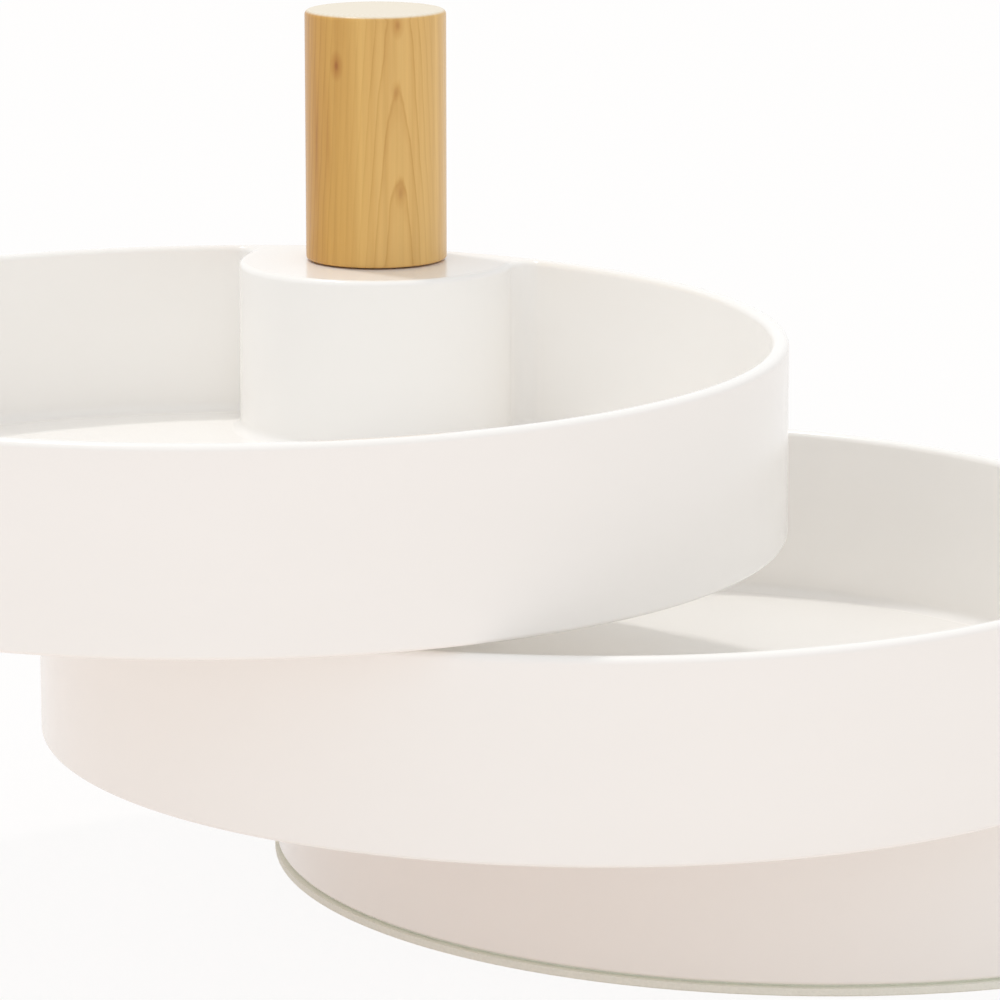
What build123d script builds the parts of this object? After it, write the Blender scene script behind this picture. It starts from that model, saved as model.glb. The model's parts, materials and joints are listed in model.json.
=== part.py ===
from build123d import *
import os

# Tiered catchall tray: three round trays that swing about one upright pivot, with a wooden grip on top.
# Millimetres. The origin is on the pivot axis at table level, +Z is up, and the trays open towards -Y.

# Trays: three alike mouldings, each with a hub that stands against its wall
tray_radius = 100.0
tray_height = 35.2
tray_wall = 3.0
tray_floor = 2.5
floor_round = 2.0
foot_round = 0.8
rim_round = 1.2
rim_round_share = 0.45
tier_gap = 1.2
pivot_inset = 14.0
lower_angle = 341.0
middle_angle = 298.5
upper_angle = 253.0

# Hubs: hollow from below, with a bored boss on the pivot axis
hub_radius = 26.4
hub_wall = 3.0
hub_roof = 3.0
hub_corner_round = 3.5
boss_wall = 3.5
rib_thickness = 2.0
rib_count = 3
rib_angle = 120.0

# Non-slip sheet under the lower tray
pad_thickness = 1.8
pad_overhang = 0.5
pad_round = 0.3
pad_seam_height = 0.4
pad_seam_depth = 1.7

# Pivot bolt with its washers
bolt_radius = 3.0
bolt_tip = 0.6
bolt_engagement = 12.0
bolt_clearance = 0.2
bolt_head_radius = 5.25
bolt_head_height = 3.3
bolt_head_round = 2.2
bolt_socket_width = 4.0
bolt_socket_depth = 2.1
bolt_washer_margin = 0.75
bolt_washer_thickness = 1.6
lock_washer_thickness = 1.5
lock_washer_slit = 1.0
head_clearance = 0.5
head_web = 4.0

# Spacer tube, and the sleeves and washers that turn on it
tube_wall = 1.8
bushing_wall = 2.0
running_clearance = 0.05
seat_clearance = 0.02
thrust_washer_recess = 0.4
thrust_washer_inset = 0.5
washer_clearance = 0.3
edge_break = 0.3
edge_break_share = 0.2

# Wooden grip with its threaded insert
handle_radius = 13.5
handle_length = 47.8
handle_top_round = 0.9
handle_foot_round = 0.5
handle_washer_thickness = 1.0
handle_gap = 0.3
insert_wall = 1.7
insert_length = 14.0
insert_groove_count = 3
insert_groove_width = 1.0
insert_groove_depth = 0.4
thread_clearance = 0.05
bore_end_gap = 3.0

overrun = 1.0

# Radii about the pivot axis, from the bolt outwards
pivot_offset = tray_radius - pivot_inset
rim_edge = min(rim_round, rim_round_share * tray_wall)
bolt_hole_radius = bolt_radius + bolt_clearance
tube_radius = bolt_hole_radius + tube_wall
bushing_bore_radius = tube_radius + running_clearance
bushing_radius = bushing_bore_radius + bushing_wall
boss_radius = bushing_radius + boss_wall
thrust_washer_radius = boss_radius - thrust_washer_inset
bolt_washer_radius = bolt_head_radius + bolt_washer_margin
insert_radius = bolt_radius + insert_wall

# Heights, from the table up
lower_base = pad_thickness
lower_height = tray_height - pad_thickness
middle_base = tray_height + tier_gap
upper_base = middle_base + tray_height + tier_gap
upper_rim = upper_base + tray_height
head_recess = bolt_head_height + lock_washer_thickness + bolt_washer_thickness + head_clearance
web_base = lower_base + head_recess
tube_base = web_base + head_web
handle_washer_recess = handle_washer_thickness - handle_gap
tube_top = upper_rim - handle_washer_recess
handle_base = tube_top + handle_washer_thickness
bolt_top = handle_base + bolt_engagement
thrust_washer_thickness = thrust_washer_recess + tier_gap


def moulded_tray(angle, base, height, bores):
    """A round tray whose hub is on the pivot axis; each bore is a radius and its two heights."""

    def level(rise):
        return Plane.XY.offset(base + rise).rotated((0, 0, angle))

    with BuildPart() as tray:
        # Outer wall, rounded at the rim and at the foot
        with BuildSketch(level(0)):
            with Locations((pivot_offset, 0)):
                Circle(tray_radius)
        extrude(amount=height)
        fillet(tray.edges().group_by(Axis.Z)[-1], rim_edge)
        fillet(tray.edges().group_by(Axis.Z)[0], foot_round)

        # Inside of the tray, which leaves the hub standing against the wall
        with BuildSketch(level(tray_floor)) as inside:
            with Locations((pivot_offset, 0)):
                Circle(tray_radius - tray_wall)
            Circle(hub_radius, mode=Mode.SUBTRACT)
            fillet(inside.vertices(), hub_corner_round)
        extrude(amount=height - tray_floor, mode=Mode.SUBTRACT)
        flat_faces = tray.faces().filter_by(Axis.Z).group_by(Axis.Z)
        rim_face = flat_faces[-1][0]
        floor_face = flat_faces[1][0]
        fillet(rim_face.inner_wires()[0].edges(), rim_edge)
        fillet(floor_face.outer_wire().edges(), floor_round)

        # Hollow under the hub, around the boss, its web to the back wall and its ribs
        with BuildSketch(level(0)):
            Circle(hub_radius - hub_wall)
            with Locations((pivot_offset, 0)):
                Circle(tray_radius - tray_wall, mode=Mode.INTERSECT)
            Circle(boss_radius, mode=Mode.SUBTRACT)
            with Locations((-pivot_inset / 2, 0)):
                Rectangle(pivot_inset, 2 * boss_radius, mode=Mode.SUBTRACT)
            with PolarLocations(hub_radius / 2, rib_count, -rib_angle / 2, rib_angle, endpoint=True):
                Rectangle(hub_radius, rib_thickness, mode=Mode.SUBTRACT)
        extrude(amount=height - hub_roof, mode=Mode.SUBTRACT)

        # Bores along the pivot axis
        for radius, low, high in bores:
            with BuildSketch(Plane.XY.offset(low)):
                Circle(radius)
            extrude(amount=high - low, mode=Mode.SUBTRACT)
    return tray


def ring(outer_radius, inner_radius, low, high):
    """A round washer, sleeve or tube about the pivot axis, with its edges broken."""
    edge = min(edge_break, edge_break_share * (outer_radius - inner_radius), edge_break_share * (high - low))
    with BuildPart() as piece:
        with BuildSketch(Plane.XY.offset(low)):
            Circle(outer_radius)
            Circle(inner_radius, mode=Mode.SUBTRACT)
        extrude(amount=high - low)
        chamfer(piece.edges().filter_by(GeomType.CIRCLE), edge)
    return piece


# Lower tray: holds the bolt's head, carries the tube and seats the lower thrust washer
washer_seat_radius = thrust_washer_radius + washer_clearance
lower_rim = lower_base + lower_height
lower_bores = [
    (bolt_washer_radius + head_clearance, lower_base - overrun, web_base),
    (bolt_hole_radius, lower_base, lower_rim),
    (tube_radius + seat_clearance, tube_base, lower_rim + overrun),
    (washer_seat_radius, lower_rim - thrust_washer_recess, lower_rim + overrun),
]
lower_tray = moulded_tray(lower_angle, lower_base, lower_height, lower_bores)

# Middle tray: turns on the tube and seats the upper thrust washer
middle_rim = middle_base + tray_height
bushing_seat_radius = bushing_radius + seat_clearance
middle_bores = [
    (bushing_seat_radius, middle_base - overrun, middle_rim + overrun),
    (washer_seat_radius, middle_rim - thrust_washer_recess, middle_rim + overrun),
]
middle_tray = moulded_tray(middle_angle, middle_base, tray_height, middle_bores)

# Upper tray: turns on the tube and seats the grip's washer
upper_bores = [
    (bushing_seat_radius, upper_base - overrun, upper_rim + overrun),
    (washer_seat_radius, tube_top, upper_rim + overrun),
]
upper_tray = moulded_tray(upper_angle, upper_base, tray_height, upper_bores)

# Non-slip sheet, which also covers the bolt's head; its border is thinner, so that a seam shows
pad_plane = Plane.XY.rotated((0, 0, lower_angle))
pad_radius = tray_radius + pad_overhang
with BuildPart() as base_pad:
    with BuildSketch(pad_plane):
        with Locations((pivot_offset, 0)):
            Circle(pad_radius)
    extrude(amount=pad_thickness - pad_seam_height)
    fillet(base_pad.edges().group_by(Axis.Z)[0], pad_round)
    with BuildSketch(pad_plane):
        with Locations((pivot_offset, 0)):
            Circle(pad_radius - pad_seam_depth)
    extrude(amount=pad_thickness)

# Button-head bolt with a hexagon socket
bolt_washer_base = web_base - bolt_washer_thickness
lock_washer_base = bolt_washer_base - lock_washer_thickness
head_base = lock_washer_base - bolt_head_height
with BuildPart() as pivot_bolt:
    with BuildSketch(Plane.XY.offset(head_base)):
        Circle(bolt_head_radius)
    extrude(amount=bolt_head_height)
    fillet(pivot_bolt.edges().group_by(Axis.Z)[0], bolt_head_round)
    with BuildSketch(Plane.XY.offset(head_base)):
        RegularPolygon(bolt_socket_width / 2, 6, major_radius=False)
    extrude(amount=bolt_socket_depth, mode=Mode.SUBTRACT)
    with BuildSketch(Plane.XY.offset(lock_washer_base)):
        Circle(bolt_radius)
    extrude(amount=bolt_top - lock_washer_base)
    chamfer(pivot_bolt.edges().group_by(Axis.Z)[-1], bolt_tip)

# Washers under the bolt's head, the lock washer split on one side
bolt_washer = ring(bolt_washer_radius, bolt_hole_radius, bolt_washer_base, web_base)
with BuildPart() as lock_washer:
    with BuildSketch(Plane.XY.offset(lock_washer_base)):
        Circle(bolt_head_radius)
        Circle(bolt_hole_radius, mode=Mode.SUBTRACT)
        with Locations((bolt_head_radius / 2, 0)):
            Rectangle(bolt_head_radius, lock_washer_slit, mode=Mode.SUBTRACT)
    extrude(amount=lock_washer_thickness)

# Tube, sleeves and washers on the pivot axis
spacer_tube = ring(tube_radius, bolt_hole_radius, tube_base, tube_top)
middle_bushing = ring(bushing_radius, bushing_bore_radius, middle_base, middle_rim - thrust_washer_recess)
upper_bushing = ring(bushing_radius, bushing_bore_radius, upper_base, tube_top)
washer_bore_radius = tube_radius + washer_clearance
lower_thrust_washer = ring(
    thrust_washer_radius, washer_bore_radius, middle_base - thrust_washer_thickness, middle_base
)
upper_thrust_washer = ring(
    thrust_washer_radius, washer_bore_radius, upper_base - thrust_washer_thickness, upper_base
)
handle_washer = ring(thrust_washer_radius, bolt_hole_radius, tube_top, handle_base)

# Turned wooden grip, bored from below for the insert and the bolt's end
bore_depth = max(insert_length, bolt_engagement) + bore_end_gap
with BuildPart() as handle:
    with BuildSketch(Plane.XY.offset(handle_base)):
        Circle(handle_radius)
    extrude(amount=handle_length)
    fillet(handle.edges().group_by(Axis.Z)[-1], handle_top_round)
    fillet(handle.edges().group_by(Axis.Z)[0], handle_foot_round)
    with BuildSketch(Plane.XY.offset(handle_base - overrun)):
        Circle(insert_radius + seat_clearance)
    extrude(amount=overrun + bore_depth, mode=Mode.SUBTRACT)

# Brass insert with grooves round its outside
groove_pitch = insert_length / (insert_groove_count + 1)
with BuildPart() as handle_insert:
    with BuildSketch(Plane.XY.offset(handle_base)):
        Circle(insert_radius)
        Circle(bolt_radius + thread_clearance, mode=Mode.SUBTRACT)
    extrude(amount=insert_length)
    for groove in range(1, insert_groove_count + 1):
        groove_middle = handle_base + groove * groove_pitch
        with BuildSketch(Plane.XY.offset(groove_middle - insert_groove_width / 2)):
            Circle(insert_radius + overrun)
            Circle(insert_radius - insert_groove_depth, mode=Mode.SUBTRACT)
        extrude(amount=insert_groove_width, mode=Mode.SUBTRACT)

pieces = {
    "lower_tray": lower_tray,
    "middle_tray": middle_tray,
    "upper_tray": upper_tray,
    "base_pad": base_pad,
    "pivot_bolt": pivot_bolt,
    "bolt_washer": bolt_washer,
    "lock_washer": lock_washer,
    "spacer_tube": spacer_tube,
    "middle_bushing": middle_bushing,
    "upper_bushing": upper_bushing,
    "lower_thrust_washer": lower_thrust_washer,
    "upper_thrust_washer": upper_thrust_washer,
    "handle_washer": handle_washer,
    "handle": handle,
    "handle_insert": handle_insert,
}
os.makedirs("parts", exist_ok=True)
for name, piece in pieces.items():
    piece.part.label = name
    export_step(piece.part, os.path.join("parts", name + ".step"))
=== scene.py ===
import json
import math

import bmesh
import bpy
from mathutils import Matrix, Vector


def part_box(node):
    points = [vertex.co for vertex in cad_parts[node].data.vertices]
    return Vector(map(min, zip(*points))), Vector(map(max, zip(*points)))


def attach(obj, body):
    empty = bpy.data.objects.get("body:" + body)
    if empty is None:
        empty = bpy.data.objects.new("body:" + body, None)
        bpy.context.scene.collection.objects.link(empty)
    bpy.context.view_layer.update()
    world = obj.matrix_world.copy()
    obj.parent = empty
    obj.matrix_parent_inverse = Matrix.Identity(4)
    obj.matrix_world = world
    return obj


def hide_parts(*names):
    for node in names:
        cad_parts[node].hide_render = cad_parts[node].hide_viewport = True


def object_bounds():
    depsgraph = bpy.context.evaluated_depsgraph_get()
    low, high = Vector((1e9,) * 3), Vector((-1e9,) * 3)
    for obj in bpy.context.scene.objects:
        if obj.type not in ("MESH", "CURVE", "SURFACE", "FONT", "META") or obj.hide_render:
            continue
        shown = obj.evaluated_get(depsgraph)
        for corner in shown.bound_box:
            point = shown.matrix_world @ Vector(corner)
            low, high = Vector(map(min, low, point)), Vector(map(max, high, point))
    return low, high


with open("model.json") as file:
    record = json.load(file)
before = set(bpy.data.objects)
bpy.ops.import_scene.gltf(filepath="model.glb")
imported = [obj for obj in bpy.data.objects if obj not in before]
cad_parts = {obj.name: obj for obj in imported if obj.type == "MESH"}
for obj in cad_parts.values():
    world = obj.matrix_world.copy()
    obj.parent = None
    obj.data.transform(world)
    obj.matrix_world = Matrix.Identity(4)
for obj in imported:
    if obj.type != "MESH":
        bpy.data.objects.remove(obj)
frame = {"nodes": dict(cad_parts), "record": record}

cad_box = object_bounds()

# Camera, as fitted to the photograph: metres and degrees in the part's own frame, the lens in millimetres
CAMERA_PLACE = (0.02374, -1.00994, 0.27455)
CAMERA_DOWN = 11.963
CAMERA_LENS = 191.46
SENSOR_WIDTH = 36.0

# Light: one steep warm key from behind on the left, and a soft sky, brighter in front and overhead
KEY_FROM = Vector((-0.280, 0.233, 0.931))
KEY_COLOUR = (1.0, 0.985, 0.96)
KEY_STRENGTH = 0.86
KEY_SPREAD = 4.0
SKY_COLOUR = (0.98, 0.985, 0.99, 1.0)
SKY_BEHIND = 0.62
SKY_IN_FRONT = 0.88
SKY_OVERHEAD = 0.15
LIGHT_BOUNCES = 12

# Floor: warm pale paper, which shows as nearly plain white with a faint shadow
FLOOR_HALF = 6.0
FLOOR_PALE = (0.94, 0.865, 0.825)
FLOOR_DEEP = (0.92, 0.845, 0.805)
FLOOR_WHITE_SHARE = 0.9

# Tray moulding, as the part is built
TRAY_RADIUS = 0.1
TRAY_WALL = 0.003
TRAY_FLOOR = 0.0025
PIVOT = (0.0, 0.0)
PIVOT_INSET = 0.014
PIVOT_OFFSET = TRAY_RADIUS - PIVOT_INSET
TRAY_CENTRE = (PIVOT_OFFSET, 0.0)
RIM_ROUND = 0.0012
FOOT_ROUND = 0.0008
FLOOR_ROUND = 0.002
HUB_RADIUS = 0.0264
HUB_WALL = 0.003
HUB_ROOF = 0.003
HUB_CORNER = 0.0035
BOSS_RADIUS = 0.01055
BORE_RADIUS = 0.00707
SEAT_RADIUS = 0.01035
SEAT_DEPTHS = {"lower_tray": 0.0004, "middle_tray": 0.0004, "upper_tray": 0.0007}
RIB_HALF = 0.001
RIB_ANGLES = (-60.0, 0.0, 60.0)

# Fineness of the tray meshes: points along each arc, steps over each rounding, and the sharp edges' angle
OUTSIDE_POINTS = 288
BORE_POINTS = 96
INSIDE_WALL_POINTS = 256
INSIDE_CORNER_POINTS = 20
INSIDE_HUB_POINTS = 64
RIB_POCKET_BOSS_POINTS = 12
RIB_POCKET_HUB_POINTS = 16
SIDE_POCKET_BOSS_POINTS = 6
SIDE_POCKET_WALL_POINTS = 6
SIDE_POCKET_HUB_POINTS = 10
ROUND_STEPS = 8
SHARP_ANGLE = 35.0

WHITE = (1.0, 1.0, 1.0)
BLACK = (0.0, 0.0, 0.0)
# The part of a noise's range over which a surface goes from its deep tone to its pale one
TONE_RANGE = (0.3, 0.7)

# Wood grip: growth rings about a pith line inside its front, leaning so that the arches point up
RING_SPACING = 0.001
RING_WAVER = 0.00042
PITH_OFFSET = 0.00965
PITH_TURN = 19.5
PITH_LEAN = 0.049
PITH_RISE = 0.0066
# How much the rings show, by the distance from the pith as a share of the grip's width
RING_STRENGTHS = [(0.15, 0.95), (0.20, 0.80), (0.27, 0.35), (0.38, 0.30), (0.46, 0.85)]
# Knots and dark streaks: the turn from the front, the drop from the top, half the width, how much each
# darkens and its width as a share of its length
MARKS = [
    (-32.0, 0.0094, 0.0016, 1.0, 0.5),
    (19.5, 0.0016, 0.0015, 0.7, 0.5),
    (17.5, 0.0141, 0.0011, 0.35, 0.5),
    (21.3, 0.0335, 0.0013, 0.45, 0.4),
    (-55.0, 0.0235, 0.0013, 0.40, 0.08),
    (-41.0, 0.0240, 0.0010, 0.35, 0.07),
]
# The wood's own tone, and the tints that each layer lays over it, by their place in the layer's range
WOOD_TONE = (0.82, 0.53, 0.168, 1.0)
RING_TINTS = [
    (0.0, WHITE),
    (0.55, (0.985, 0.97, 0.95)),
    (0.80, (0.92, 0.87, 0.79)),
    (0.90, (0.83, 0.73, 0.58)),
    (0.98, (0.98, 0.96, 0.93)),
    (1.0, WHITE),
]
FIBRE_TINTS = [(0.32, (0.94, 0.925, 0.90)), (0.6, WHITE)]
STREAK_TINTS = [(0.34, (0.88, 0.82, 0.72)), (0.64, WHITE)]
# Painted shade across the grip: deeper and more orange towards its left side, and a little bluer at its
# right edge
SIDE_SHADE_TINTS = [(0.0, (0.76, 0.60, 0.24)), (0.32, (0.92, 0.86, 0.74)), (0.6, (1.0, 1.0, 1.06))]
MARK_TINTS = [(0.1, (0.62, 0.40, 0.22)), (0.4, (0.82, 0.69, 0.52)), (1.0, WHITE)]
END_TINTS = [(0.0, (0.83, 0.75, 0.60)), (0.8, (0.79, 0.69, 0.515)), (1.0, (0.83, 0.75, 0.60))]
# The upward lean of the surface over which the end grain takes the place of the side's wood
END_LEANS = [(0.55, BLACK), (0.95, WHITE)]


class Graph:
    """The node tree of a material or a world, filled node by node and linked through sockets."""

    def __init__(self, owner):
        owner.use_nodes = True
        self.owner = owner
        self.tree = owner.node_tree
        self.tree.nodes.clear()

    def feed(self, socket, value):
        """Links another node's socket to this one, or sets a constant on it."""
        if isinstance(value, bpy.types.NodeSocket):
            self.tree.links.new(value, socket)
        else:
            socket.default_value = value

    def add(self, kind, inputs=None, **settings):
        node = self.tree.nodes.new(kind)
        for key, value in settings.items():
            setattr(node, key, value)
        for key, value in (inputs or {}).items():
            self.feed(node.inputs[key], value)
        return node

    def place(self):
        return self.add("ShaderNodeTexCoord").outputs["Object"]

    def axes(self, vector):
        return self.add("ShaderNodeSeparateXYZ", {0: vector}).outputs

    def math(self, operation, a, b=0.0, c=0.0):
        return self.add("ShaderNodeMath", {0: a, 1: b, 2: c}, operation=operation).outputs[0]

    def scaled(self, vector, scale):
        return self.add("ShaderNodeVectorMath", {0: vector, 1: scale}, operation="MULTIPLY").outputs[0]

    def away(self, vector, point, stretch):
        """The distance from a point, with each axis stretched."""
        apart = self.add("ShaderNodeVectorMath", {0: vector, 1: point}, operation="SUBTRACT").outputs[0]
        scaled = self.scaled(apart, stretch)
        return self.add("ShaderNodeVectorMath", {0: scaled}, operation="LENGTH").outputs["Value"]

    def noise(self, vector, scale, detail=2.0, roughness=0.5):
        """Noise with one scale, or with one for each axis."""
        if isinstance(scale, tuple):
            vector, scale = self.scaled(vector, scale), 1.0
        inputs = {"Vector": vector, "Scale": scale, "Detail": detail, "Roughness": roughness}
        return self.add("ShaderNodeTexNoise", inputs).outputs[0]

    def ramp(self, factor, stops):
        node = self.add("ShaderNodeValToRGB", {"Fac": factor})
        elements = node.color_ramp.elements
        while len(elements) < len(stops):
            elements.new(0.5)
        for element, (position, colour) in zip(elements, stops):
            element.position = position
            element.color = (*colour, 1.0)
        return node.outputs["Color"]

    def tones(self, noise, deep, pale, reach=TONE_RANGE):
        """A colour that wanders between a deep tone and a pale one."""
        return self.ramp(noise, list(zip(reach, (deep, pale))))

    def span(self, factor, low, high, start=0.0):
        """What goes from the start to 1, brought to go from low to high."""
        inputs = {"Value": factor, "From Min": start, "To Min": low, "To Max": high}
        return self.add("ShaderNodeMapRange", inputs).outputs["Result"]

    def mix(self, factor, a, b, blend="MIX"):
        node = self.add("ShaderNodeMix", data_type="RGBA", blend_type=blend)
        for key, value in (("Factor_Float", factor), ("A_Color", a), ("B_Color", b)):
            self.feed(next(s for s in node.inputs if s.identifier == key), value)
        return next(s for s in node.outputs if s.identifier == "Result_Color")

    def bump(self, height, strength, distance):
        inputs = {"Height": height, "Strength": strength, "Distance": distance}
        return self.add("ShaderNodeBump", inputs).outputs["Normal"]

    def seen(self):
        """1 for a ray that is seen, straight or in a reflection, and 0 for one that gathers light."""
        path = self.add("ShaderNodeLightPath").outputs
        reflected = self.math("MAXIMUM", path["Is Glossy Ray"], path["Is Transmission Ray"])
        return self.math("MAXIMUM", path["Is Camera Ray"], reflected)

    def surface(self, inputs):
        """Ends a material in one shader with these inputs."""
        shader = self.add("ShaderNodeBsdfPrincipled", inputs)
        self.add("ShaderNodeOutputMaterial", {"Surface": shader.outputs[0]})
        return self.owner


def tray_plastic():
    """Warm white moulded plastic: faint flow marks, a fine satin texture and an even soft gloss."""
    g = Graph(bpy.data.materials.new("tray_plastic"))
    place = g.place()
    flow = g.noise(place, scale=(14.0, 14.0, 40.0), detail=3.0)
    grain = g.noise(place, scale=2600.0, detail=3.0, roughness=0.6)
    return g.surface({
        "Base Color": g.tones(flow, deep=(0.968, 0.950, 0.922), pale=(0.982, 0.964, 0.938)),
        "Roughness": g.span(grain, low=0.16, high=0.24),
        "Normal": g.bump(grain, strength=0.05, distance=0.0001),
        "IOR": 1.46,
    })


def grip_wood():
    """Pale softwood: arched growth rings, upright fibres, small knots and streaks, and paler end grain."""
    g = Graph(bpy.data.materials.new("grip_wood"))
    place = g.place()
    axes = g.axes(place)
    low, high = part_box("handle")
    radius = (high.x - low.x) / 2

    def on_front(turn, reach):
        return reach * math.sin(math.radians(turn)), -reach * math.cos(math.radians(turn))

    # Rings: distance from the pith, which changes slowly with height
    from_pith = g.away(place, (*on_front(PITH_TURN, PITH_OFFSET), 0.0), (1.0, 1.0, 0.0))
    lean = g.math("MULTIPLY", g.math("SUBTRACT", axes["Z"], low.z - PITH_RISE), PITH_LEAN)
    waver = g.span(g.noise(place, scale=(200.0, 200.0, 65.0), detail=5.0), -RING_WAVER, RING_WAVER)
    grown = g.math("ADD", g.math("ADD", from_pith, lean), waver)
    ring = g.math("FRACT", g.math("DIVIDE", grown, RING_SPACING))

    # The rings stand out near the pith and on the left, and are faint between
    patches = g.noise(place, scale=(120.0, 120.0, 25.0))
    strengths = [(reach, (strength,) * 3) for reach, strength in RING_STRENGTHS]
    near = g.ramp(g.math("DIVIDE", from_pith, 2 * radius), strengths)
    contrast = g.math("MULTIPLY", near, g.span(patches, low=0.55, high=1.25))
    colour = g.mix(contrast, WOOD_TONE, g.ramp(ring, RING_TINTS), "MULTIPLY")

    # Fibres, broad streaks, and painted shade: a deeper, more orange tone towards the left side
    fibre = g.noise(place, scale=(1100.0, 1100.0, 22.0), detail=4.0, roughness=0.6)
    streak = g.noise(place, scale=(330.0, 330.0, 8.0))
    side = g.math("MULTIPLY_ADD", axes["X"], 0.5 / radius, 0.5)
    for layer, tints in ((fibre, FIBRE_TINTS), (streak, STREAK_TINTS), (side, SIDE_SHADE_TINTS)):
        colour = g.mix(1.0, colour, g.ramp(layer, tints), "MULTIPLY")

    for turn, drop, size, depth, stretch in MARKS:
        heart = (*on_front(turn, radius), high.z - drop)
        reach = g.math("DIVIDE", g.away(place, heart, (1.0, 1.0, stretch)), size)
        colour = g.mix(depth, colour, g.ramp(reach, MARK_TINTS), "MULTIPLY")

    # End grain on top: paler, with the same rings
    facing = g.axes(g.add("ShaderNodeTexCoord").outputs["Normal"])
    upward = g.ramp(facing["Z"], END_LEANS)
    return g.surface({
        "Base Color": g.mix(upward, colour, g.ramp(ring, END_TINTS)),
        "Roughness": g.span(fibre, low=0.46, high=0.58),
        "Specular IOR Level": 0.3,
        "Coat Weight": 0.6,
        "Coat Roughness": 0.25,
        "Normal": g.bump(fibre, strength=0.10, distance=0.0002),
    })


def pad_rubber():
    """Matte milky sheet, a little yellow-green, with a fine pebbled face."""
    g = Graph(bpy.data.materials.new("pad_rubber"))
    pebble = g.noise(g.place(), scale=1500.0, detail=3.0, roughness=0.6)
    deep, pale = (0.86, 0.875, 0.805), (0.90, 0.915, 0.845)
    return g.surface({
        "Base Color": g.tones(pebble, deep, pale, reach=(0.35, 0.65)),
        "Roughness": g.span(pebble, low=0.75, high=0.9),
        "Normal": g.bump(pebble, strength=0.3, distance=0.0003),
    })


def turned_metal(name, deep, pale):
    """Turned metal with fine lines round the pivot axis."""
    g = Graph(bpy.data.materials.new(name))
    lines = g.noise(g.place(), scale=(40.0, 40.0, 4000.0), detail=3.0)
    return g.surface({
        "Base Color": g.tones(lines, deep, pale),
        "Metallic": 1.0,
        "Roughness": g.span(lines, low=0.25, high=0.4),
        "Normal": g.bump(lines, strength=0.08, distance=0.0001),
    })


def bearing_plastic():
    """Natural white bearing plastic with faint machining marks."""
    g = Graph(bpy.data.materials.new("bearing_plastic"))
    marks = g.noise(g.place(), scale=(60.0, 60.0, 3000.0), detail=3.0)
    return g.surface({
        "Base Color": g.tones(marks, deep=(0.72, 0.71, 0.67), pale=(0.80, 0.79, 0.75)),
        "Roughness": g.span(marks, low=0.3, high=0.42),
        "Normal": g.bump(marks, strength=0.05, distance=0.0001),
    })


def on_circle(centre, radius, angle):
    """The point of a circle at an angle in degrees."""
    turn = math.radians(angle)
    return centre[0] + radius * math.cos(turn), centre[1] + radius * math.sin(turn)


def arc(centre, radius, start, end, count):
    """Points along a circle between two angles in degrees, without the last one."""
    return [on_circle(centre, radius, start + (end - start) * k / count) for k in range(count)]


def whole_arc(centre, radius, start, end, count):
    """An arc with its last point."""
    return arc(centre, radius, start, end, count) + [on_circle(centre, radius, end)]


def inside_outline(grow):
    """The tray's inside in plan, grown by a distance: its wall, a corner, the hub and the other corner."""
    near, far = HUB_RADIUS + HUB_CORNER, TRAY_RADIUS - TRAY_WALL - HUB_CORNER
    x = (near**2 - far**2 + PIVOT_OFFSET**2) / (2 * PIVOT_OFFSET)
    y = math.sqrt(near**2 - x**2)
    wall_end = math.degrees(math.atan2(y, x - PIVOT_OFFSET))
    hub_end = math.degrees(math.atan2(y, x))
    corner_end = hub_end + 180.0
    return (
        arc(TRAY_CENTRE, TRAY_RADIUS - TRAY_WALL + grow, -wall_end, wall_end, INSIDE_WALL_POINTS)
        + arc((x, y), HUB_CORNER + grow, wall_end, corner_end, INSIDE_CORNER_POINTS)
        + arc(PIVOT, HUB_RADIUS - grow, hub_end, -hub_end, INSIDE_HUB_POINTS)
        + arc((x, -y), HUB_CORNER + grow, -corner_end, -wall_end, INSIDE_CORNER_POINTS)
    )


def pocket_outlines():
    """The hollows under the hub in plan: two between the ribs, two from a rib to the back wall."""
    outer = HUB_RADIUS - HUB_WALL
    wall = TRAY_RADIUS - TRAY_WALL
    inner_lean = math.degrees(math.asin(RIB_HALF / BOSS_RADIUS))
    outer_lean = math.degrees(math.asin(RIB_HALF / outer))
    outlines = [
        whole_arc(PIVOT, BOSS_RADIUS, first + inner_lean, second - inner_lean, RIB_POCKET_BOSS_POINTS)
        + whole_arc(PIVOT, outer, second - outer_lean, first + outer_lean, RIB_POCKET_HUB_POINTS)
        for first, second in zip(RIB_ANGLES, RIB_ANGLES[1:])
    ]
    meet_x = (outer**2 - wall**2 + PIVOT_OFFSET**2) / (2 * PIVOT_OFFSET)
    meet_y = math.sqrt(outer**2 - meet_x**2)
    hub_angle = math.degrees(math.atan2(meet_y, meet_x))
    wall_angle = math.degrees(math.atan2(meet_y, meet_x - PIVOT_OFFSET))
    web_angle = math.degrees(math.pi - math.asin(BOSS_RADIUS / wall))
    last = RIB_ANGLES[-1]
    side = (
        whole_arc(PIVOT, BOSS_RADIUS, last + inner_lean, 90.0, SIDE_POCKET_BOSS_POINTS)
        + arc(TRAY_CENTRE, wall, web_angle, wall_angle, SIDE_POCKET_WALL_POINTS)
        + whole_arc(PIVOT, outer, hub_angle, last + outer_lean, SIDE_POCKET_HUB_POINTS)
    )
    return outlines + [side, [(x, -y) for x, y in side]]


def quarter_round(size):
    """Steps over a quarter round: the offset that shrinks to nothing, and the one that grows."""
    turns = [math.radians(90.0 * k / ROUND_STEPS) for k in range(ROUND_STEPS + 1)]
    return [(size * (1 - math.sin(turn)), size * (1 - math.cos(turn))) for turn in turns]


def skin(mesh, loops):
    """Quads between closed loops of equally many points; returns the first and last rows of vertices."""
    rows = [[mesh.verts.new((x, y, z)) for x, y in outline] for outline, z in loops]
    for low, high in zip(rows, rows[1:]):
        for k in range(len(low)):
            mesh.faces.new((low[k - 1], low[k], high[k], high[k - 1]))
    return rows[0], rows[-1]


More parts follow.
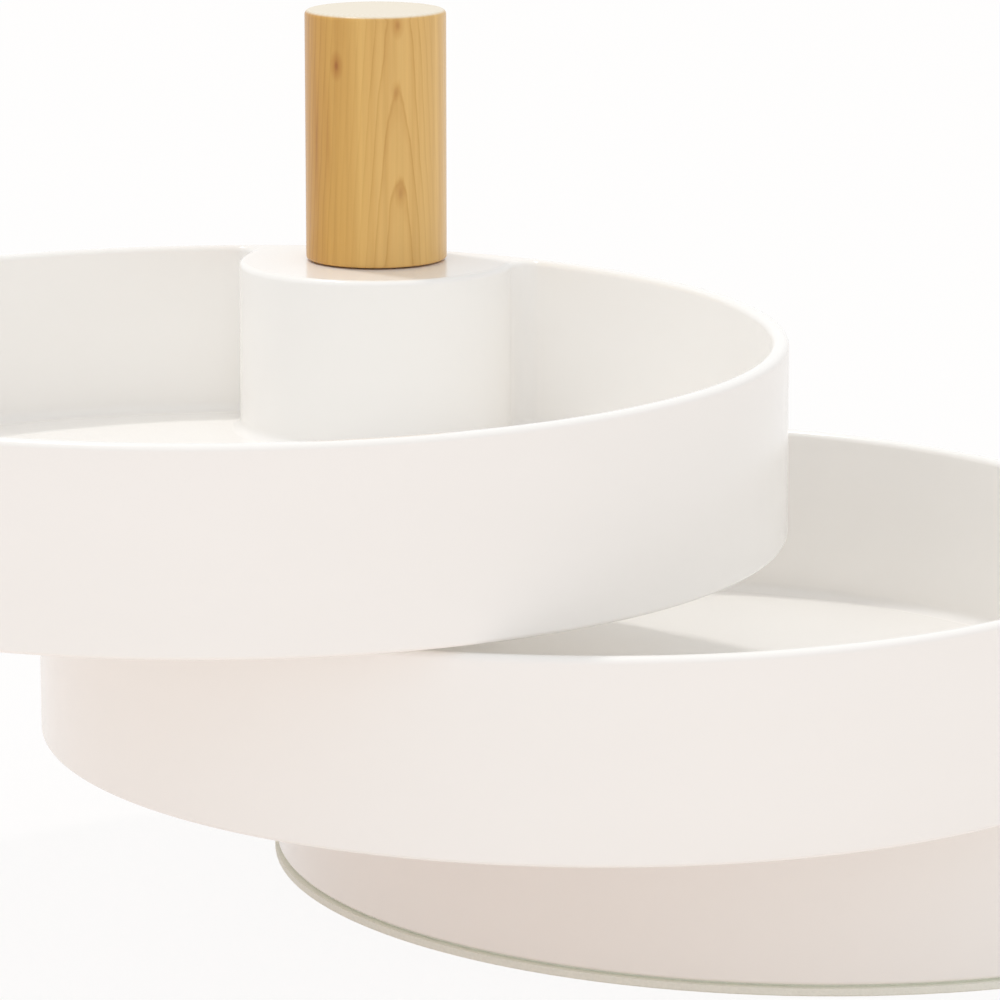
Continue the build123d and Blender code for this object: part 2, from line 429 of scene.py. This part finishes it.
def cap(mesh, *rows):
    """A flat face between closed rows of vertices, the first outside and the others holes in it."""
    pairs = [(row[k - 1], row[k]) for row in rows for k in range(len(row))]
    edges = [mesh.edges.get(pair) or mesh.edges.new(pair) for pair in pairs]
    bmesh.ops.triangle_fill(mesh, edges=edges, use_beauty=True, normal=(0.0, 0.0, 1.0))


def tray_form(height, seat_depth):
    """A tray's closed surface, with its foot at height zero and its pivot at the origin."""

    def outside(radius):
        return arc(TRAY_CENTRE, radius, 0.0, 360.0, OUTSIDE_POINTS)

    def about_pivot(radius):
        return arc(PIVOT, radius, 0.0, 360.0, BORE_POINTS)

    mesh = bmesh.new()
    foot = [(outside(TRAY_RADIUS - shrinks), grows) for shrinks, grows in quarter_round(FOOT_ROUND)]
    rim = [(outside(TRAY_RADIUS - grows), height - shrinks) for shrinks, grows in quarter_round(RIM_ROUND)]
    outer_foot, outer_rim = skin(mesh, foot + rim)
    lip = [(inside_outline(shrinks), height - grows) for shrinks, grows in quarter_round(RIM_ROUND)]
    hollow = [
        (inside_outline(-grows), TRAY_FLOOR + shrinks) for shrinks, grows in quarter_round(FLOOR_ROUND)
    ]
    inner_rim, inner_floor = skin(mesh, lip + hollow)
    seat = height - seat_depth
    bore = [(SEAT_RADIUS, height), (SEAT_RADIUS, seat), (BORE_RADIUS, seat), (BORE_RADIUS, 0.0)]
    seat_rim, bore_foot = skin(mesh, [(about_pivot(radius), z) for radius, z in bore])
    pocket_feet = []
    for outline in pocket_outlines():
        pocket_foot, pocket_roof = skin(mesh, [(outline, 0.0), (outline, height - HUB_ROOF)])
        cap(mesh, pocket_roof)
        pocket_feet.append(pocket_foot)
    cap(mesh, outer_rim, inner_rim, seat_rim)
    cap(mesh, inner_floor)
    cap(mesh, outer_foot, bore_foot, *pocket_feet)
    bmesh.ops.recalc_face_normals(mesh, faces=mesh.faces)
    return mesh


def moulded_tray(node, body, finish):
    """One tray as a fine smooth mesh, in the place of its CAD node."""
    low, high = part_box(node)
    mesh = tray_form(high.z - low.z, SEAT_DEPTHS[node])
    middle = (low + high) / 2
    turn = Matrix.Rotation(math.atan2(middle.y, middle.x), 4, "Z")
    mesh.transform(Matrix.Translation((0.0, 0.0, low.z)) @ turn)
    data = bpy.data.meshes.new(node + "_shell")
    mesh.to_mesh(data)
    mesh.free()
    data.polygons.foreach_set("use_smooth", [True] * len(data.polygons))
    data.set_sharp_from_angle(angle=math.radians(SHARP_ANGLE))
    data.materials.append(finish)
    shell = bpy.data.objects.new(node + "_shell", data)
    bpy.context.scene.collection.objects.link(shell)
    shell.modifiers.new("even_normals", "WEIGHTED_NORMAL").keep_sharp = True
    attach(shell, body)
    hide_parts(node)


def dress():
    """Gives each CAD node the material of its slot, and each tray its fine mesh."""
    finishes = {
        "tray_plastic": tray_plastic(),
        "grip_wood": grip_wood(),
        "pad_rubber": pad_rubber(),
        "steel": turned_metal("steel", deep=(0.42, 0.42, 0.43), pale=(0.55, 0.55, 0.56)),
        "bearing_plastic": bearing_plastic(),
        "brass": turned_metal("brass", deep=(0.55, 0.36, 0.11), pale=(0.68, 0.47, 0.17)),
    }
    for part in frame["record"]["subparts"]:
        mesh = frame["nodes"][part["node"]].data
        mesh.materials.clear()
        mesh.materials.append(finishes[part["material_slot"]])
    for body, nodes in frame["record"]["behaviour"]["bodies"].items():
        for node in nodes:
            if node in SEAT_DEPTHS:
                moulded_tray(node, body, finishes["tray_plastic"])


def lay_floor():
    """A plain pale floor at the height of the part's underside, mostly white where it is seen."""
    mesh = bpy.data.meshes.new("floor")
    low = cad_box[0].z
    corners = [(-1, -1), (1, -1), (1, 1), (-1, 1)]
    mesh.from_pydata([(x * FLOOR_HALF, y * FLOOR_HALF, low) for x, y in corners], [], [(0, 1, 2, 3)])
    floor = bpy.data.objects.new("floor", mesh)
    bpy.context.scene.collection.objects.link(floor)
    g = Graph(bpy.data.materials.new("floor"))
    tone = g.tones(g.noise(g.place(), scale=3.0), FLOOR_DEEP, FLOOR_PALE)
    paper = g.add("ShaderNodeBsdfDiffuse", {"Color": tone})
    white = g.add("ShaderNodeEmission", {"Color": (*WHITE, 1.0), "Strength": 1.0})
    share = g.math("MULTIPLY", g.seen(), FLOOR_WHITE_SHARE)
    mixed = g.add("ShaderNodeMixShader", {0: share, 1: paper.outputs[0], 2: white.outputs[0]})
    g.add("ShaderNodeOutputMaterial", {"Surface": mixed.outputs[0]})
    mesh.materials.append(g.owner)


def light_scene():
    """The key, and a sky that is white where it is seen and softer where it lights."""
    key = bpy.data.lights.new("key", "SUN")
    key.color = KEY_COLOUR
    key.energy = KEY_STRENGTH
    key.angle = math.radians(KEY_SPREAD)
    key_lamp = bpy.data.objects.new("key", key)
    key_lamp.rotation_euler = KEY_FROM.to_track_quat("Z", "Y").to_euler()
    bpy.context.scene.collection.objects.link(key_lamp)

    g = Graph(bpy.data.worlds.new("sky"))
    towards = g.axes(g.add("ShaderNodeTexCoord").outputs["Generated"])
    level = g.span(towards["Y"], SKY_IN_FRONT, SKY_BEHIND, start=-1.0)
    lift = g.math("MULTIPLY_ADD", g.math("MULTIPLY", towards["Z"], towards["Z"]), SKY_OVERHEAD, 1.0)
    strength = g.math("MULTIPLY", level, lift)
    lighting = g.add("ShaderNodeBackground", {"Color": SKY_COLOUR, "Strength": strength})
    white = g.add("ShaderNodeBackground", {"Color": (*WHITE, 1.0), "Strength": 1.0})
    choice = g.add("ShaderNodeMixShader", {0: g.seen(), 1: lighting.outputs[0], 2: white.outputs[0]})
    g.add("ShaderNodeOutputWorld", {"Surface": choice.outputs[0]})
    bpy.context.scene.world = g.owner


def aim_camera():
    """The photograph's view: level from side to side, looking a little down."""
    data = bpy.data.cameras.new("photo_view")
    data.sensor_width = SENSOR_WIDTH
    data.lens = CAMERA_LENS
    camera = bpy.data.objects.new("photo_view", data)
    camera.location = CAMERA_PLACE
    camera.rotation_euler = (math.radians(90.0 - CAMERA_DOWN), 0.0, 0.0)
    bpy.context.scene.collection.objects.link(camera)
    bpy.context.scene.camera = camera


dress()
lay_floor()
light_scene()
aim_camera()
bpy.context.scene.view_settings.view_transform = "Standard"
bpy.context.scene.cycles.diffuse_bounces = LIGHT_BOUNCES
